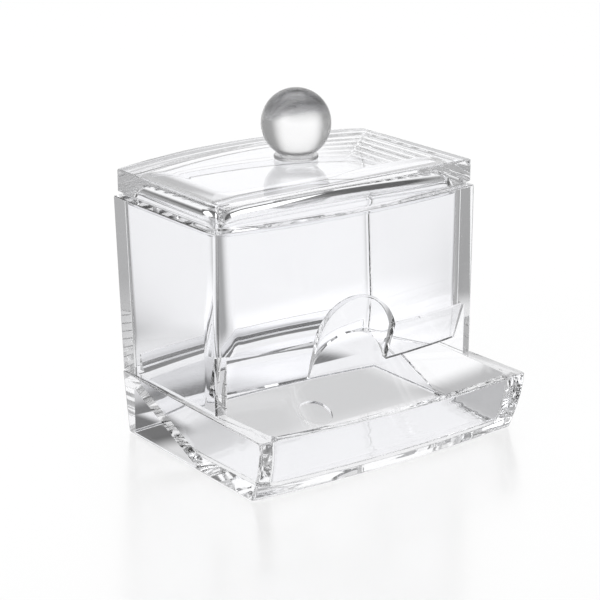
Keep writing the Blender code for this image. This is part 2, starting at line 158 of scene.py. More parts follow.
@dataclass(frozen=True)
class Plan:
    """Plan of a bowed block at one height, in millimetres.

    The front and back edges bulge by bow_front and bow_back, a dome lifts the
    middle above z, and a crease turns the sides where it is given.
    """

    z: float
    front_half: float
    back_half: float
    front: float
    back: float
    bow_front: float
    bow_back: float
    corner: Corner = Corner.CRISP
    dome: float = 0.0
    crease: float | None = None
    corner_back: Corner | None = None

    @property
    def rows(self) -> int:
        """Facets from front to back."""
        return 2 * CORNER_STEPS + (1 if self.crease is None else 2)

    def _arc(self, half: float, y: float, bow: float, ahead: int) -> list[Vector]:
        """Round of the left corner.

        Args:
            half: Half width at this corner.
            y: Place of the corner.
            bow: Bulge of the long edge.
            ahead: -1 for a front corner and 1 for a back one.

        Returns:
            Points from the side's end of the round to the long edge's end.
        """
        tip = Vector((-half, y))
        edge = Vector((1, ahead * 2 * bow / half)).normalized()
        lean = 0.0 if self.crease is None else (self.front_half - self.back_half) / (
            self.crease - self.front)
        side = Vector((lean if ahead < 0 else 0.0, -ahead)).normalized()
        wide = side.angle(edge) / 2
        radius = (self.corner if ahead < 0 else self.corner_back or self.corner).value
        centre = tip + (side + edge).normalized() * radius / math.sin(wide)
        start = tip + side * radius / math.tan(wide) - centre
        sweep = start.angle_signed(tip + edge * radius / math.tan(wide) - centre)
        turns = steps(0, -sweep, 2 * CORNER_STEPS)
        return [centre + Matrix.Rotation(turn, 2) @ start for turn in turns]

    def edge(self, column: int, ahead: int) -> Vector:
        """Point on the front or back edge.

        Args:
            column: Number of the column, from the left.
            ahead: -1 for the front and 1 for the back.

        Returns:
            The (x, y) point.
        """
        half, y, bow = ((self.front_half, self.front, self.bow_front) if ahead < 0
                        else (self.back_half, self.back, self.bow_back))
        arc = self._arc(half, y, bow, ahead)[CORNER_STEPS:]
        mirror = column > COLUMNS / 2
        place = COLUMNS - column if mirror else column
        if place <= CORNER_STEPS:
            point = arc[place]
        else:
            share = (place - CORNER_STEPS) / (COLUMNS / 2 - CORNER_STEPS)
            x = mix(arc[-1].x, 0, share)
            point = Vector((x, y + ahead * bow * swell(x, half)))
        return Vector((-point.x, point.y)) if mirror else point

    def side(self, row: int) -> Vector:
        """Point on the left side.

        Args:
            row: Number of the row, from the front.

        Returns:
            The (x, y) point.
        """
        if row <= CORNER_STEPS:
            return self._arc(self.front_half, self.front, self.bow_front, -1)[CORNER_STEPS - row]
        if row >= self.rows - CORNER_STEPS:
            arc = self._arc(self.back_half, self.back, self.bow_back, 1)
            return arc[CORNER_STEPS - (self.rows - row)]
        return Vector((-self.back_half, self.crease))

    def at(self, column: int, row: int) -> Vector:
        """Point of this plan's grid.

        Args:
            column: Number of the column, from the left.
            row: Number of the row, from the front.

        Returns:
            The point in metres.
        """
        share = row / self.rows
        if share in (0, 1):
            place = self.edge(column, -1 if row == 0 else 1)
        elif column in (0, COLUMNS):
            place = self.side(row)
            place.x = math.copysign(place.x, column - COLUMNS / 2)
        else:
            near, far = self.edge(column, -1), self.edge(column, 1)
            place = Vector((mix(near.x, far.x, share), self.side(row).y))
        half = mix(self.front_half, self.back_half, share)
        return spot(place.x, place.y, self.z + self.dome * swell(place.x, half))


class Workshop:
    """Bench tools that make and join the clear mouldings."""

    smooth_angle = math.radians(12)
    weld = 2e-6
    face_weight = 80

    @staticmethod
    def clear_bench() -> None:
        """Leave no object selected."""
        for obj in bpy.context.selected_objects:
            obj.select_set(False)

    @staticmethod
    @contextmanager
    def editing() -> Iterator[None]:
        """Edit mode on the active object, with all of it selected.

        Yields:
            Nothing; the object is back in object mode afterwards.
        """
        bpy.ops.object.mode_set(mode="EDIT")
        bpy.ops.mesh.select_all(action="SELECT")
        yield
        bpy.ops.object.mode_set(mode="OBJECT")

    @classmethod
    def take(cls, obj: Solid) -> None:
        """Make one object the only selected and active one.

        Args:
            obj: Object to take.
        """
        cls.clear_bench()
        obj.select_set(True)
        bpy.context.view_layer.objects.active = obj

    @classmethod
    def block(cls, name: str, columns: int, rows: int, levels: int,
              rule: Rule) -> Solid:
        """Grid drawn up level by level and fitted to a rule.

        Args:
            name: Name of the new object.
            columns: Facets across.
            rows: Facets from front to back.
            levels: Number of heights.
            rule: Gives a point from the numbers of its column, row and level.

        Returns:
            The closed block.
        """
        cls.clear_bench()
        bpy.ops.mesh.primitive_grid_add(x_subdivisions=columns, y_subdivisions=rows, size=2)
        obj = bpy.context.object
        obj.name = name
        with cls.editing():
            for _ in range(levels - 1):
                bpy.ops.mesh.extrude_region_move(TRANSFORM_OT_translate={"value": (0, 0, 1)})
        for vertex in obj.data.vertices:
            across, along, up = vertex.co
            vertex.co = rule(round((across + 1) * columns / 2), round((along + 1) * rows / 2),
                             round(up))
        with cls.editing():
            bpy.ops.mesh.normals_make_consistent(inside=False)
        return obj

    @classmethod
    def stack(cls, name: str, plans: Sequence[Plan]) -> Solid:
        """Block through a stack of plans.

        Args:
            name: Name of the new object.
            plans: Plans from below upwards.

        Returns:
            The closed block.
        """
        return cls.block(name, COLUMNS, plans[0].rows, len(plans),
                         lambda column, row, level: plans[level].at(column, row))

    @classmethod
    def work(cls, obj: Solid, kind: str, **settings: object) -> None:
        """Put a modifier on a solid and apply it.

        Args:
            obj: Solid.
            kind: Modifier type.
            **settings: The modifier's own properties.
        """
        cls.take(obj)
        modifier = obj.modifiers.new(kind, kind)
        for key, value in settings.items():
            setattr(modifier, key, value)
        bpy.ops.object.modifier_apply(modifier=modifier.name)

    @classmethod
    def join(cls, obj: Solid, tool: Solid, how: Join) -> None:
        """Cut a solid out of another, or fuse them, and use the tool up.

        Args:
            obj: Solid that stays.
            tool: Solid that acts on it and is removed.
            how: Cut or fuse.
        """
        cls.work(obj, "BOOLEAN", operation=how.value, solver="EXACT", object=tool)
        bpy.data.objects.remove(tool, do_unlink=True)

    @classmethod
    def polish(cls, obj: Solid) -> None:
        """Weld a solid, turn its faces outwards and shade its curves smooth.

        Args:
            obj: Solid.
        """
        cls.take(obj)
        with cls.editing():
            bpy.ops.mesh.remove_doubles(threshold=cls.weld)
            bpy.ops.mesh.normals_make_consistent(inside=False)
        bpy.ops.object.shade_smooth_by_angle(angle=cls.smooth_angle)
        cls.work(obj, "WEIGHTED_NORMAL", keep_sharp=True, weight=cls.face_weight)

    @classmethod
    def adopt(cls, name: str) -> Solid:
        """Name the primitive just added and put its place and turn into its mesh.

        Args:
            name: Name that it gets.

        Returns:
            The primitive, at the origin.
        """
        obj = bpy.context.object
        obj.name = name
        cls.take(obj)
        bpy.ops.object.transform_apply(location=True, rotation=True, scale=True)
        return obj


@dataclass(frozen=True)
class Signal:
    """Output of a node that takes part in sums."""

    graph: Graph
    socket: bpy.types.NodeSocket | None

    def _math(self, operation: str, first: object, second: object) -> Signal:
        """Math node on two values.

        Args:
            operation: Name of the sum.
            first: Number or signal.
            second: Number or signal.

        Returns:
            The result.
        """
        return self.graph.node("ShaderNodeMath", {0: first, 1: second}, operation=operation)

    def __add__(self, other: object) -> Signal:
        """Sum.

        Args:
            other: Number or signal.

        Returns:
            The sum.
        """
        return self._math("ADD", self, other)

    __radd__ = __add__

    def __sub__(self, other: object) -> Signal:
        """Difference.

        Args:
            other: Number or signal that is taken away.

        Returns:
            The difference.
        """
        return self._math("SUBTRACT", self, other)

    def __rsub__(self, other: object) -> Signal:
        """Difference from a plain number.

        Args:
            other: Number that this value is taken from.

        Returns:
            The difference.
        """
        return self._math("SUBTRACT", other, self)

    def __mul__(self, other: object) -> Signal:
        """Product.

        Args:
            other: Number or signal.

        Returns:
            The product.
        """
        return self._math("MULTIPLY", self, other)

    __rmul__ = __mul__

    def larger(self, other: object) -> Signal:
        """The larger of this value and another.

        Args:
            other: Number or signal.

        Returns:
            The larger one.
        """
        return self._math("MAXIMUM", self, other)

    def between(self, low: float, high: float, to_low: float = 0.0,
                to_high: float = 1.0) -> Signal:
        """Smooth step of this value from one range to another.

        Args:
            low: Value that gives to_low.
            high: Value that gives to_high.
            to_low: Result at and below low.
            to_high: Result at and above high.

        Returns:
            The stepped value.
        """
        return self.graph.node("ShaderNodeMapRange",
                               {"Value": self, "From Min": low, "From Max": high,
                                "To Min": to_low, "To Max": to_high},
                               interpolation_type="SMOOTHSTEP")


class Graph:
    """Node tree of a material or of the world."""

    def __init__(self, owner: bpy.types.Material | bpy.types.World) -> None:
        """Start with an empty tree.

        Args:
            owner: Material or world that the nodes go into.
        """
        owner.use_nodes = True
        self.tree = owner.node_tree
        self.tree.nodes.clear()

    def node(self, kind: str, sockets: Mapping[str | int, object] | None = None,
             output: str | int = 0, **settings: object) -> Signal:
        """Make any node.

        Args:
            kind: Node type.
            sockets: Values or signals for its inputs.
            output: Output that the signal stands for.
            **settings: The node's own properties.

        Returns:
            A signal for one output.
        """
        made = self.tree.nodes.new(kind)
        for key, value in settings.items():
            setattr(made, key, value)
        for key, value in (sockets or {}).items():
            if isinstance(value, Signal):
                self.tree.links.new(value.socket, made.inputs[key])
            else:
                made.inputs[key].default_value = value
        return Signal(self, made.outputs[output] if made.outputs else None)

    def axes(self, place: Signal) -> tuple[Signal, Signal, Signal]:
        """Parts of a vector.

        Args:
            place: Vector to take apart.

        Returns:
            Its X, Y and Z.
        """
        split = self.node("ShaderNodeSeparateXYZ", {0: place}).socket.node
        return tuple(Signal(self, part) for part in split.outputs)

    def blend(self, share: object, first: object, second: object) -> Signal:
        """Colour between two others.

        Args:
            share: 0 gives first and 1 gives second.
            first: Colour or signal.
            second: Colour or signal.

        Returns:
            The blended colour.
        """
        return self.node("ShaderNodeMix", {0: share, 6: first, 7: second},
                         output=2, data_type="RGBA")


@dataclass(frozen=True)
class ClearPlastic:
    """Polished clear moulding with faint flow waves and handling marks.

    The rim and crown shades are painted shade: they darken the faces that turn away
    and those above crown, as a thick ball looks; wave_end is the place in Y where
    the waves stop.
    """

    name: str
    tint: Triple = (0.979, 0.981, 0.994)
    flow_tint: float = 0.99
    flow_span: Span = (0.35, 0.7)
    roughness: float = 0.012
    haze: float = 0.05
    rub_ratio: float = 9.0
    rub_detail: float = 5.0
    rub_span: Span = (0.52, 0.78)
    wave_scale: float = 55.0
    wave_detail: float = 2.0
    wave_depth: float = 0.006
    wave_end: float = 1.0
    wave_fade: float = 0.003
    stretch: Triple = (1.0, 1.0, 1.0)
    ior: float = 1.49
    painted_rim_shade: float = 1.0
    rim_span: Span = (0.07, 0.42)
    crown: float = 0.0925
    crown_fade: float = 0.006
    painted_crown_shade: float = 1.0

    def _shade(self, share: float) -> tuple[float, float, float, float]:
        """Darker version of the tint.

        Args:
            share: Share of the tint that is kept.

        Returns:
            The colour.
        """
        return (*(channel * share for channel in self.tint), 1.0)

    def material(self) -> bpy.types.Material:
        """Build the material.

        Returns:
            A transmitting material whose gloss and surface vary.
        """
        material = bpy.data.materials.new(self.name)
        graph = Graph(material)
        place = graph.node("ShaderNodeTexCoord", output="Object")
        _, along, height = graph.axes(place)
        drawn = graph.node("ShaderNodeVectorMath", {0: place, 1: self.stretch},
                           operation="MULTIPLY")
        flow, waves = (
            graph.node("ShaderNodeTexNoise", {"Vector": at, "Scale": self.wave_scale,
                                              "Detail": self.wave_detail})
            for at in (place, drawn))
        waves = waves * along.between(self.wave_end - self.wave_fade, self.wave_end, 1, 0)
        rubs = graph.node("ShaderNodeTexNoise",
                          {"Vector": place, "Scale": self.wave_scale * self.rub_ratio,
                           "Detail": self.rub_detail})
        roughness = rubs.between(*self.rub_span) * self.haze + self.roughness
        colour = graph.blend(flow.between(*self.flow_span), self._shade(1),
                             self._shade(self.flow_tint))
        # Painted shade on the faces that turn away and above the crown height, as a thick ball
        # looks.
        rim = graph.node("ShaderNodeLayerWeight", output="Facing")
        colour = graph.blend(rim.between(*self.rim_span), colour, self._shade(self.painted_rim_shade))
        above = height.between(self.crown - self.crown_fade, self.crown)
        colour = graph.blend(above, colour, self._shade(self.painted_crown_shade))
        normal = graph.node("ShaderNodeBump",
                            {"Strength": self.wave_depth, "Distance": MM, "Height": waves})
        shader = graph.node("ShaderNodeBsdfPrincipled",
                            {"Base Color": colour, "Roughness": roughness, "Normal": normal,
                             "IOR": self.ior, "Transmission Weight": 1.0})
        graph.node("ShaderNodeOutputMaterial", {"Surface": shader})
        return material


@dataclass
class Seats:
    """Heights and faces that two mouldings share, in millimetres."""

    rim: float = 17.4
    gap: float = 0.3
    sleeve_half: float = 43.6
    sleeve_front: float = 17.0
    sleeve_back: float = 62.7
    sleeve_lean: float = 3.0
    sleeve_top: float = 66.6
    wall: float = 3.0
    bow: float = 4.0

    @property
    def sleeve_foot(self) -> float:
        """Foot of the box."""
        return self.rim + self.gap

    def lean_at(self, z: float) -> float:
        """How far the box's back stands out at a height.

        Args:
            z: Height.

        Returns:
            The distance that it has leant back.
        """
        return self.sleeve_lean * (z - self.sleeve_foot) / (self.sleeve_top - self.sleeve_foot)

    def sleeve_plan(self, z: float, inset: float, corner: Corner = Corner.CRISP,
                    corner_back: Corner | None = None, side: float = 0.0, ends: float = 0.0,
                    lean_z: float | None = None, dome: float = 0.0) -> Plan:
        """Plan of the box, or of what stands on it or fits into it.

        Args:
            z: Height.
            inset: How far every edge is drawn in.
            corner: Rounding of the front corners.
            corner_back: Rounding of the back corners, where it differs.
            side: How much further the sides are drawn in.
            ends: How much further the front and back are drawn in.
            lean_z: Height whose lean the back takes, where it isn't z.
            dome: Rise of the middle.

        Returns:
            The plan.
        """
        half = self.sleeve_half - side - inset
        back = self.sleeve_back + self.lean_at(z if lean_z is None else lean_z)
        return Plan(z, half, half, self.sleeve_front + ends + inset, back - ends - inset,
                    self.bow, self.bow, corner, dome, corner_back=corner_back)

    def inner_back(self, x: float) -> float:
        """Inner face of the back wall.

        Args:
            x: Place across.

        Returns:
            Its place in y.
        """
        half = self.sleeve_half - self.wall
        return self.sleeve_back - self.wall + self.bow * swell(x, half)


@dataclass
class Piece:
    """What every dressed piece shares: its finish and its seats."""

    finish: ClearPlastic
    seats: Seats

    def dress(self, obj: Solid, node: str, body: str, slot: str) -> None:
        """Finish a piece and put it in the place of its node.

        Args:
            obj: Finished mesh.
            node: Node it stands for.
            body: Body it rides on.
            slot: Not used.
        """
        obj.data.materials.clear()
        obj.data.materials.append(self.finish.material())
        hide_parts(node)
        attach(obj, body)
        LOG.info("%s: %d faces on %s", obj.name, len(obj.data.polygons), body)


@dataclass
class TrayBase(Piece):
    """Tray, ramp, cove and the hollow under the ramp, in one moulding.

    outer_levels and basin_levels are shares of the rim's height at which plans
    stand: the first and last one and the number of intervals, and the shares.
    """

    foot_half: float = 44.2
    rim_half: float = 45.0
    depth: float = 60.0
    front_flare: float = 4.6
    back_half: float = 43.9
    back_flare: float = 2.7
    foot_bow: float = 2.2
    rim_bow: float = 3.0
    back_bow: float = 3.5
    edge: float = 0.45
    floor: float = 2.9
    floor_fillet: float = 2.2
    front_wall: float = 2.3
    tray_half: float = 39.6
    basin_half: float = 41.0
    draft: float = 1.0
    crease: float = 23.5
    ramp_foot: float = 25.8
    ramp_slope: float = 14.4 / 33.9
    ramp_thickness: float = 3.3
    cove_top: float = 22.0
    cove_lip: float = 0.5
    cove_half: float = 38.0
    hollow_wall: float = 3.0
    hollow_back: float = 2.2
    mark_radius: float = 5.0
    mark_depth: float = 0.9
    mark_place: float = 32.8
    mark_facets: int = 72
    columns: int = 60
    outer_levels: tuple[float, float, int] = (0.1, 0.9, 8)
    basin_levels: tuple[float, ...] = (0.45, 0.6, 0.8, 1.0)

    def outer_plan(self, z: float, inset: float) -> Plan:
        """Outer plan, whose front curves out as it rises.

        Args:
            z: Height.
            inset: How far every edge is drawn in.

        Returns:
            The plan.
        """
        share = z / self.seats.rim
        half = mix(self.foot_half, self.rim_half, share) - inset
        front = -self.front_flare * math.sin(share * math.pi / 2)
        return Plan(z, half, self.back_half - inset, front + inset,
                    self.depth + self.back_flare * share - inset,
                    mix(self.foot_bow, self.rim_bow, share),
                    mix(self.back_bow, self.seats.bow, share))

    def basin_plan(self, z: float, inset: float) -> Plan:
        """Inner plan, which follows the outer one's front up to the rim.

        Args:
            z: Height.
            inset: How far every edge is drawn in.

        Returns:
            The plan.
        """
        share = (z - self.floor) / (self.seats.rim - self.floor)
        tight = mix(self.draft, 0, min(share, 1)) + inset
        outer = self.outer_plan(min(z, self.seats.rim), 0)
        return Plan(z, self.tray_half - tight, self.basin_half - tight,
                    outer.front + self.front_wall + inset,
                    self.seats.sleeve_back - self.seats.wall - inset,
                    outer.bow_front, self.seats.bow, Corner.BASIN, crease=self.crease)

    def ramp_top(self, y: float) -> float:
        """Height of the ramp.

        Args:
            y: Place from front to back.

        Returns:
            The height.
        """
        return self.floor + (y - self.ramp_foot) * self.ramp_slope

    def ramp_under(self, y: float) -> float:
        """Height of the ramp's underside.

        Args:
            y: Place from front to back.

        Returns:
            The height.
        """
        return self.ramp_top(y) - self.ramp_thickness * math.hypot(1, self.ramp_slope)

    def cove_face(self, x: float) -> float:
        """Front of the cove's tip.

        Args:
            x: Place across.

        Returns:
            Its place in y.
        """
        return self.seats.inner_back(x) - self.seats.gap - self.cove_lip

    def cove_radius(self, x: float) -> float:
        """Radius that runs from the ramp into the level tip.

        Args:
            x: Place across.

        Returns:
            The radius.
        """
        sweep = self.cove_sweep
        return (self.cove_top - self.ramp_top(self.cove_face(x))) / (
            math.sin(sweep) - (1 - math.cos(sweep)) * self.ramp_slope)

    @property
    def cove_sweep(self) -> float:
        """Angle that the cove turns through."""
        return math.pi / 2 - math.atan(self.ramp_slope)

    def across(self, column: int, half: float) -> float:
        """Place of a column of evenly spread ones.

        Args:
            column: Number of the column, from the left.
            half: Half width that they fill.

        Returns:
            The place in x.
        """
        return (2 * column / self.columns - 1) * half

    def _ramp_block(self) -> Solid:
        """Solid under the ramp and behind the cove.

        Returns:
            The solid.
        """
        seats = self.seats
        turns = [0.0] + steps(self.cove_sweep, 0, COVE_STEPS) + [0.0]
        low = self.floor - OVERSHOOT

        def rule(column: int, row: int, level: int) -> Vector:
            """The ramp and the cove in front, the box's back behind."""
            x = self.across(column, self.rim_half)
            face, radius = self.cove_face(x), self.cove_radius(x)
            if row:
                far = seats.inner_back(x) + OVERSHOOT
                top = self.cove_top + 2 * OVERSHOOT
                return spot(x, far, mix(low, top, level / (len(turns) - 1)))
            if level == 0:
                return spot(x, self.ramp_foot - OVERSHOOT / self.ramp_slope, low)
            if level == len(turns) - 1:
                return spot(x, face, self.cove_top + 2 * OVERSHOOT)
            turn = turns[level]
            return spot(x, face - radius * (1 - math.cos(turn)),
                        self.cove_top - radius * math.sin(turn))

        return Workshop.block("ramp_block", self.columns, 1, len(turns), rule)

    def _riser(self) -> Solid:
        """Block behind the cove that stands up inside the box.

        Returns:
            The solid.
        """
        def rule(column: int, row: int, level: int) -> Vector:
            """Upright faces from the ramp's underside to the cove's top."""
            x = self.across(column, self.cove_half)
            back = self.seats.inner_back(x) - self.seats.gap
            front = back - self.cove_lip - self.cove_radius(x)
            root = self.ramp_top(front) - self.ramp_thickness
            return spot(x, back if row else front, self.cove_top if level else root)

        return Workshop.block("riser", self.columns, 1, 2, rule)

    def _hollow(self) -> Solid:
        """Wedge under the ramp, open below.

        Returns:
            The tool that cuts it.
        """
        def rule(column: int, row: int, level: int) -> Vector:
            """A sharp end in front, the full height at the back."""
            x = self.across(column, self.foot_half - self.hollow_wall)
            far = self.depth - self.hollow_back + self.back_bow * swell(x, self.foot_half)
            tip = self.ramp_foot - (OVERSHOOT + self.ramp_under(self.ramp_foot)) / self.ramp_slope
            y = far if row else tip
            return spot(x, y, self.ramp_under(y) + HAIR if level else -OVERSHOOT)

        return Workshop.block("ramp_hollow", self.columns, 1, 2, rule)

    def _mark(self) -> Solid:
        """Ring mark's round recess in the ramp's underside.

        Returns:
            The tool that cuts it.
        """
        Workshop.clear_bench()
        bpy.ops.mesh.primitive_cylinder_add(
            vertices=self.mark_facets, radius=self.mark_radius * MM,
            depth=2 * self.mark_depth * MM,
            location=spot(0, self.mark_place, self.ramp_under(self.mark_place)),
            rotation=(math.atan(self.ramp_slope), 0, 0))
        return bpy.context.object

    def build(self) -> None:
        """Make the moulding."""
        rim = self.seats.rim
        plans = [self.outer_plan(rise, inset) for rise, inset in quarter(self.edge)]
        plans += [self.outer_plan(rim * share, 0) for share in steps(*self.outer_levels)]
        plans += [self.outer_plan(rim - rise, inset)
                  for rise, inset in reversed(quarter(self.edge))]
        tray = Workshop.stack("tray_moulding", plans)
        plans = [self.basin_plan(self.floor + rise, inset)
                 for rise, inset in quarter(self.floor_fillet)]
        plans += [self.basin_plan(rim * share, 0) for share in self.basin_levels]
        plans += [self.basin_plan(self.cove_top + OVERSHOOT, 0)]
        basin = Workshop.stack("basin", plans)
        Workshop.join(basin, self._ramp_block(), Join.CUT)
        Workshop.join(tray, self._riser(), Join.FUSE)
        Workshop.join(tray, basin, Join.CUT)
        Workshop.join(tray, self._hollow(), Join.CUT)
        Workshop.join(tray, self._mark(), Join.CUT)
        Workshop.polish(tray)
        self.dress(tray, "tray_base", "holder", "clear_body")


@dataclass
class BoxSleeve(Piece):
    """Box of four walls with a slanting lip and an arched finger notch."""

    post: float = 3.1
    bend: float = 32.6
    lip_drop: float = 11.0
    lip_inset: float = 3.9
    lip_tip: float = 1.6
    lip_slant: float = 3.0
    lip_step: float = 0.15
    root_thin: float = 0.45
    root_rise: float = 0.9
    notch_half: float = 13.2
    notch_rise: float = 10.4
    fillet: float = 5.0
    foot_edge: float = 0.2
    edge: float = 0.35
    columns: int = 64

    @property
    def notch_radius(self) -> float:
        """Radius of the notch's arch."""
        return (self.notch_half ** 2 + self.notch_rise ** 2) / (2 * self.notch_rise)

    def station(self, column: int, end: float) -> float:
        """Place across the front, with even angles round the notch.

        Args:
            column: Number of the column; the notch takes the middle half of them.
            end: Half width that the columns fill.

        Returns:
            The place in x.
        """
        radius = self.notch_radius
        across = 2 * column / self.columns - 1
        if abs(across) <= 0.5:
            return radius * math.sin(math.asin(self.notch_half / radius) * across * 2)
        return math.copysign(mix(self.notch_half, end, abs(across) * 2 - 1), across)

    def bend_at(self, x: float) -> float:
        """Height of the bend line, lifted over the notch.

        Args:
            x: Place across.

        Returns:
            The height.
        """
        radius = self.notch_radius
        arch = math.sqrt(max(0.0, radius ** 2 - x ** 2)) - radius + self.notch_rise
        return self.bend + max(0.0, arch)

    def _opening(self) -> Solid:
        """Space between the posts under the bend line.

        Returns:
            The tool that cuts it.
        """
        seats = self.seats

        def rule(column: int, row: int, level: int) -> Vector:
            """From below the rim up to the bend line."""
            x = self.station(column, seats.sleeve_half - self.post)
            y = seats.sleeve_front - seats.bow - OVERSHOOT
            if row:
                y = seats.sleeve_front + seats.wall + self.fillet + OVERSHOOT
            return spot(x, y, self.bend_at(x) if level else seats.rim - OVERSHOOT)

        return Workshop.block("front_opening", self.columns, 1, 2, rule)

    def _lip(self) -> Solid:
        """Slanting lip, rooted in the front wall.

        Returns:
            The solid.
        """
        seats = self.seats

        def rule(column: int, inner: int, level: int) -> Vector:
            """The lip's tip, the bend line and the root above it."""
            x = self.station(column, seats.sleeve_half - seats.wall / 2)
            bulge = seats.bow * swell(x, seats.sleeve_half)
            face = seats.sleeve_front - bulge + self.lip_step
            bend = self.bend_at(x)
            if level == 0:
                return spot(x, face + self.lip_inset + (self.lip_tip if inner else 0),
                            bend - self.lip_drop + (self.lip_tip / self.lip_slant if inner else 0))
            if level == 1:
                return spot(x, face + (seats.wall if inner else 0), bend)
            return spot(x, face + (seats.wall - self.root_thin if inner else 0),
                        bend + self.root_rise)

        return Workshop.block("lip", self.columns, 1, 3, rule)

    def build(self) -> None:
        """Make the moulding."""
        seats = self.seats
        foot, top = seats.sleeve_foot, seats.sleeve_top
        plans = [seats.sleeve_plan(foot + rise, inset)
                 for rise, inset in quarter(self.foot_edge)]
        plans += [seats.sleeve_plan(top - rise, inset)
                  for rise, inset in reversed(quarter(self.edge))]
        sleeve = Workshop.stack("box_moulding", plans)
        plans = [seats.sleeve_plan(z, seats.wall, Corner.BORE_FRONT, Corner.BORE_BACK)
                 for z in (foot - OVERSHOOT, top + OVERSHOOT)]
        bore = Workshop.stack("sleeve_bore", plans)
        Workshop.join(sleeve, bore, Join.CUT)
        Workshop.join(sleeve, self._opening(), Join.CUT)
        Workshop.join(sleeve, self._lip(), Join.FUSE)
        Workshop.polish(sleeve)
        self.dress(sleeve, "box_sleeve", "holder", "clear_body")


@dataclass
class Lid(Piece):
    """Domed hollow cap with a skirt, a shadow step and a locating rim."""

    side_inset: float = 1.1
    end_inset: float = 0.4
    skirt_foot: float = 67.8
    corner_height: float = 74.0
    dome: float = 1.4
    plate: float = 2.7
    seat_inset: float = 1.0
    plug_depth: float = 1.8
    plug_clearance: float = 0.35
    plug_wall: float = 1.6
    plug_edge: float = 0.3
    plug_overlap: float = 1.0
    seat_overlap: float = 0.6
    cavity_fillet: float = 6.5
    foot_edge: float = 0.2
    edge: float = 0.5

    @property
    def seat(self) -> float:
        """Height of the face that rests on the box."""
        return self.seats.sleeve_top + self.seats.gap

    @property
    def plug_foot(self) -> float:
        """Lower end of the locating rim."""
        return self.seats.sleeve_top - self.plug_depth

    def cap_plan(self, z: float, inset: float, dome: float = 0.0) -> Plan:
        """Plan of the cap.

        Args:
            z: Height.
            inset: How far every edge is drawn in.
            dome: Rise of the middle.

        Returns:
            The plan.
        """
        return self.seats.sleeve_plan(z, inset, side=self.side_inset, ends=self.end_inset,
                                      lean_z=self.seats.sleeve_top, dome=dome)

    def plug_plan(self, z: float, inset: float, dome: float = 0.0) -> Plan:
        """Plan of the locating rim.

        Args:
            z: Height.
            inset: How far every edge is drawn in.
            dome: Rise of the middle.

        Returns:
            The plan.
        """
        reach = self.seats.wall + self.plug_clearance + inset
        return self.seats.sleeve_plan(z, reach, Corner.PLUG_FRONT, Corner.PLUG_BACK,
                                      lean_z=self.plug_foot, dome=dome)

    def build(self) -> None:
        """Make the moulding."""
        plans = [self.cap_plan(self.skirt_foot + rise, inset)
                 for rise, inset in quarter(self.foot_edge)]
        plans += [self.cap_plan(self.corner_height - rise, inset, self.dome)
                  for rise, inset in reversed(quarter(self.edge))]
        cap = Workshop.stack("lid_moulding", plans)
        plans = [self.cap_plan(z, self.seat_inset)
                 for z in (self.seat, self.skirt_foot + self.seat_overlap)]
        Workshop.join(cap, Workshop.stack("seat", plans), Join.FUSE)
        plans = [self.plug_plan(self.plug_foot + rise, inset)
                 for rise, inset in quarter(self.plug_edge)]
        plans += [self.plug_plan(self.skirt_foot + self.plug_overlap, 0)]
        Workshop.join(cap, Workshop.stack("plug", plans), Join.FUSE)
        ceiling = self.corner_height - self.plate
        plans = [self.plug_plan(self.plug_foot - OVERSHOOT, self.plug_wall)]
        plans += [self.plug_plan(ceiling - rise, self.plug_wall + inset, self.dome)
                  for rise, inset in reversed(quarter(self.cavity_fillet, VAULT_STEPS))]
        Workshop.join(cap, Workshop.stack("cavity", plans), Join.CUT)
        Workshop.polish(cap)
        self.dress(cap, "lid", "cover", "clear_lid")


@dataclass
class Knob(Piece):
    """Collar and ball on the lid's crown."""

    foot: float = 75.7
    collar_radius: float = 6.1
    collar_height: float = 1.0
    collar_edge: float = 0.3
    collar_steps: int = 6
    crisp_angle: float = math.radians(35)
    ball_radius: float = 9.6
    ball_centre: float = 85.4
    meridians: int = 96
    parallels: int = 64

    def place(self, z: float) -> Vector:
        """Point on the knob's axis.

        Args:
            z: Height.

        Returns:
            The point in metres.
        """
        seats = self.seats
        middle = (seats.sleeve_front + seats.sleeve_back + seats.sleeve_lean) / 2
        return spot(0, middle, z)

    def _collar(self) -> Solid:
        """Low round foot with a softened edge.

        Returns:
            The collar.
        """
        Workshop.clear_bench()
        bpy.ops.mesh.primitive_cylinder_add(
            vertices=self.meridians, radius=self.collar_radius * MM, depth=self.collar_height * MM,
            location=self.place(self.foot + self.collar_height / 2))
        collar = Workshop.adopt("knob_foot")
        Workshop.work(collar, "BEVEL", width=self.collar_edge * MM,
                      segments=self.collar_steps, limit_method="ANGLE",
                      angle_limit=self.crisp_angle, miter_outer="MITER_SHARP",
                      use_clamp_overlap=True)
        Workshop.polish(collar)
        return collar

    def _ball(self) -> Solid:
        """Ball with a flat foot.

        Returns:
            The ball.
        """
        Workshop.clear_bench()
        bpy.ops.mesh.primitive_uv_sphere_add(
            segments=self.meridians, ring_count=self.parallels,
            radius=self.ball_radius * MM, location=self.place(self.ball_centre))
        ball = Workshop.adopt("knob_ball")
        flat = self.foot + self.collar_height + self.seats.gap
        with Workshop.editing():
            bpy.ops.mesh.bisect(plane_co=self.place(flat), plane_no=(0, 0, 1),
                                use_fill=True, clear_inner=True)
        Workshop.polish(ball)
        return ball

    def build(self) -> None:
        """Make both pieces."""
        self.dress(self._collar(), "knob_collar", "cover", "clear_knob")
        self.dress(self._ball(), "ball_knob", "cover", "clear_knob")


